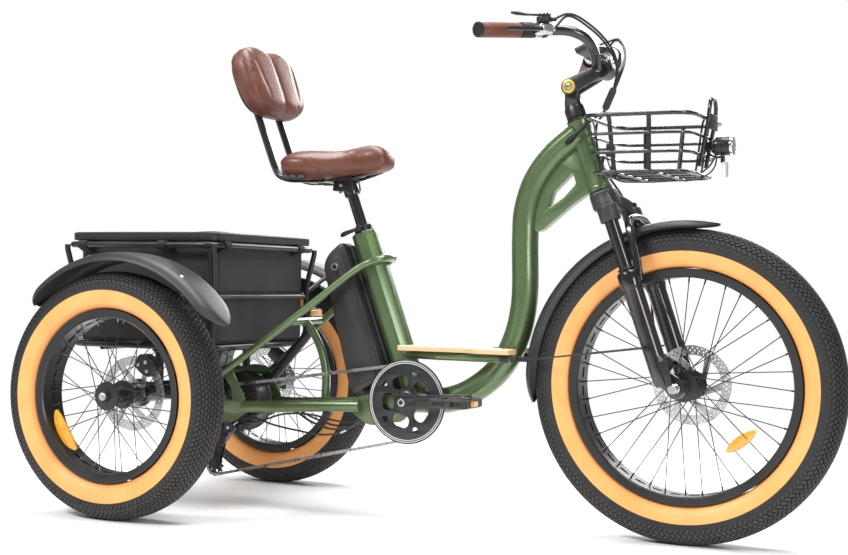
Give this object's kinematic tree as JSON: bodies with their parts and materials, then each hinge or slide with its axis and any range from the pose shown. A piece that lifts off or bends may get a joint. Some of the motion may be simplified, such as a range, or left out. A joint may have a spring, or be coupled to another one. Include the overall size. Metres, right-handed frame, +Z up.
{
  "type": "adult tricycle",
  "caption": "Step-through electric adult tricycle with fat tyres, sprung fork, front basket, lined rear cargo box, footboard and a leather seat with backrest.",
  "frame": {"origin": "on the ground under the middle of the machine", "axes": "+X forward, +Y to the rider's left, +Z up"},
  "size_m": [1.916, 0.877, 1.1757],
  "materials": {
    "frame_green": "satin metallic moss green paint",
    "black_coat": "satin black powder coat",
    "bare_steel": "bare steel and alloy",
    "black_plastic": "matt moulded black plastic",
    "black_rubber": "matt black rubber",
    "tyre_rubber": "black tread with tan sidewalls",
    "brown_leather": "brown leather with stitched channels",
    "box_canvas": "coated black fabric",
    "birch_board": "pale lacquered birch"
  },
  "bodies": {
    "frame": {"main_frame": "frame_green", "rear_frame": "frame_green", "axle_housing": "black_coat", "foot_board": "birch_board", "seat_clamp": "black_coat", "battery": "black_plastic", "battery_mount": "black_plastic", "front_basket": "black_coat", "cargo_rack": "black_coat", "cargo_box": "box_canvas", "rear_fender_right": "black_plastic", "rear_fender_left": "black_plastic", "chain": "bare_steel", "derailleur_body": "black_coat", "rear_caliper_right": "black_coat", "rear_caliper_left": "black_coat", "cable_loom_lower": "black_rubber"},
    "steering": {"fork_crown": "black_coat", "stem_base": "black_coat"},
    "stem": {"stem_arm": "black_coat", "handlebar": "black_coat", "grip_left": "brown_leather", "grip_right": "brown_leather", "brake_body_right": "bare_steel", "brake_body_left": "bare_steel", "shifter_body": "black_plastic", "display": "black_plastic", "cable_loom_upper": "black_rubber"},
    "brake_lever_right": {"brake_lever_right": "black_coat"},
    "brake_lever_left": {"brake_lever_left": "black_coat"},
    "shift_lever": {"shift_lever": "black_plastic"},
    "throttle": {"throttle_grip": "black_rubber"},
    "fork_lower": {"fork_lowers": "black_coat", "front_fender": "black_plastic", "front_caliper": "black_coat", "front_brake_hose": "black_rubber"},
    "front_lever": {"front_axle_lever": "black_coat"},
    "front_wheel": {"front_tyre": "tyre_rubber", "front_wheel": "black_coat", "front_rotor": "bare_steel"},
    "rear_wheel_right": {"rear_tyre_right": "tyre_rubber", "rear_wheel_right": "black_coat", "rear_rotor_right": "bare_steel"},
    "rear_wheel_left": {"rear_tyre_left": "tyre_rubber", "rear_wheel_left": "black_coat", "rear_rotor_left": "bare_steel"},
    "crankset": {"crank_arms": "black_coat", "chainring": "black_coat"},
    "pedal_right": {"pedal_right": "black_plastic"},
    "pedal_left": {"pedal_left": "black_plastic"},
    "cassette": {"cassette": "bare_steel"},
    "motor_drum": {"motor_drum": "black_coat"},
    "derailleur_cage": {"derailleur_cage": "black_coat"},
    "seat": {"seat_post": "black_coat", "seat_frame": "black_coat", "saddle": "brown_leather", "backrest_pad": "brown_leather"},
    "seat_clamp_lever": {"seat_clamp_lever": "bare_steel"},
    "box_lid": {"box_lid": "box_canvas"},
    "headlight": {"headlight": "black_plastic"}
  },
  "joints": [
    {"name": "steer", "type": "hinge", "parent": "frame", "child": "steering", "pos_m": [0.4, 0, 0.791], "axis": [-0.3305, 0, 0.9438], "range_deg": [-40, 40], "deforming": ["cable_loom_lower"]},
    {"name": "stem_tilt", "type": "hinge", "parent": "steering", "child": "stem", "pos_m": [0.328, 0, 1.026], "axis": [0, 1, 0], "range_deg": [-30, 35], "deforming": ["cable_loom_upper"]},
    {"name": "fork_travel", "type": "slide", "parent": "steering", "child": "fork_lower", "axis": [-0.3305, 0, 0.9438], "range_m": [0, 0.024], "stiffness_N_per_m": 12000, "springref_m": -0.03, "deforming": ["front_brake_hose"]},
    {"name": "front_wheel_spin", "type": "hinge", "parent": "fork_lower", "child": "front_wheel", "pos_m": [0.608, 0, 0.35], "axis": [0, 1, 0], "continuous": true},
    {"name": "front_lever_turn", "type": "hinge", "parent": "fork_lower", "child": "front_lever", "pos_m": [0.608, 0, 0.35], "axis": [0, 1, 0], "continuous": true},
    {"name": "rear_spin_right", "type": "hinge", "parent": "frame", "child": "rear_wheel_right", "pos_m": [-0.666, -0.3765, 0.292], "axis": [0, 1, 0], "continuous": true},
    {"name": "rear_spin_left", "type": "hinge", "parent": "frame", "child": "rear_wheel_left", "pos_m": [-0.666, 0.3765, 0.292], "axis": [0, 1, 0], "continuous": true},
    {"name": "crank_spin", "type": "hinge", "parent": "frame", "child": "crankset", "pos_m": [-0.054, 0, 0.286], "axis": [0, 1, 0], "continuous": true},
    {"name": "cassette_spin", "type": "hinge", "parent": "frame", "child": "cassette", "pos_m": [-0.559, -0.05, 0.258], "axis": [0, 1, 0], "continuous": true},
    {"name": "motor_spin", "type": "hinge", "parent": "frame", "child": "motor_drum", "pos_m": [-0.559, 0, 0.258], "axis": [0, 1, 0], "continuous": true},
    {"name": "pedal_spin_right", "type": "hinge", "parent": "crankset", "child": "pedal_right", "pos_m": [0.11359, -0.15, 0.29772], "axis": [0, 1, 0], "continuous": true},
    {"name": "pedal_spin_left", "type": "hinge", "parent": "crankset", "child": "pedal_left", "pos_m": [-0.22159, 0.15, 0.27428], "axis": [0, 1, 0], "continuous": true},
    {"name": "cage_swing", "type": "hinge", "parent": "frame", "child": "derailleur_cage", "pos_m": [-0.57, -0.051, 0.19], "axis": [0, 1, 0], "range_deg": [-20, 25], "stiffness_Nm_per_rad": 3, "deforming": ["chain"]},
    {"name": "seat_height", "type": "slide", "parent": "frame", "child": "seat", "axis": [-0.3486, 0, 0.9373], "range_m": [-0.06, 0.06]},
    {"name": "seat_clamp_turn", "type": "hinge", "parent": "frame", "child": "seat_clamp_lever", "pos_m": [-0.2036, -0.033, 0.6998], "axis": [-0.3486, 0, 0.9373], "range_deg": [0, 150]},
    {"name": "lid_lift", "type": "hinge", "parent": "frame", "child": "box_lid", "pos_m": [-0.482, 0, 0.661], "axis": [0, 1, 0], "range_deg": [0, 75]},
    {"name": "brake_right", "type": "hinge", "parent": "stem", "child": "brake_lever_right", "pos_m": [0.33564, -0.21851, 1.12415], "axis": [0, 0.1293, -0.9916], "range_deg": [0, 14], "stiffness_Nm_per_rad": 1.5, "springref_deg": -5.73},
    {"name": "brake_left", "type": "hinge", "parent": "stem", "child": "brake_lever_left", "pos_m": [0.33564, 0.21851, 1.12415], "axis": [0, 0.1293, 0.9916], "range_deg": [0, 14], "stiffness_Nm_per_rad": 1.5, "springref_deg": -5.73},
    {"name": "shift_thumb", "type": "hinge", "parent": "stem", "child": "shift_lever", "pos_m": [0.32205, -0.17473, 1.16415], "axis": [0, -0.1293, 0.9916], "range_deg": [-60, 30]},
    {"name": "throttle_twist", "type": "hinge", "parent": "stem", "child": "throttle", "pos_m": [0.289, -0.235, 1.122], "axis": [-0.4025, -0.9077, -0.1184], "range_deg": [0, 60], "stiffness_Nm_per_rad": 0.3, "springref_deg": -5.73},
    {"name": "headlight_tilt", "type": "hinge", "parent": "frame", "child": "headlight", "pos_m": [0.662, 0, 0.882], "axis": [0, 1, 0], "range_deg": [-15, 20]}
  ],
  "couplings": [
    {"joint": "cassette_spin", "follows": "crank_spin", "ratio": 2.0952}
  ]
}
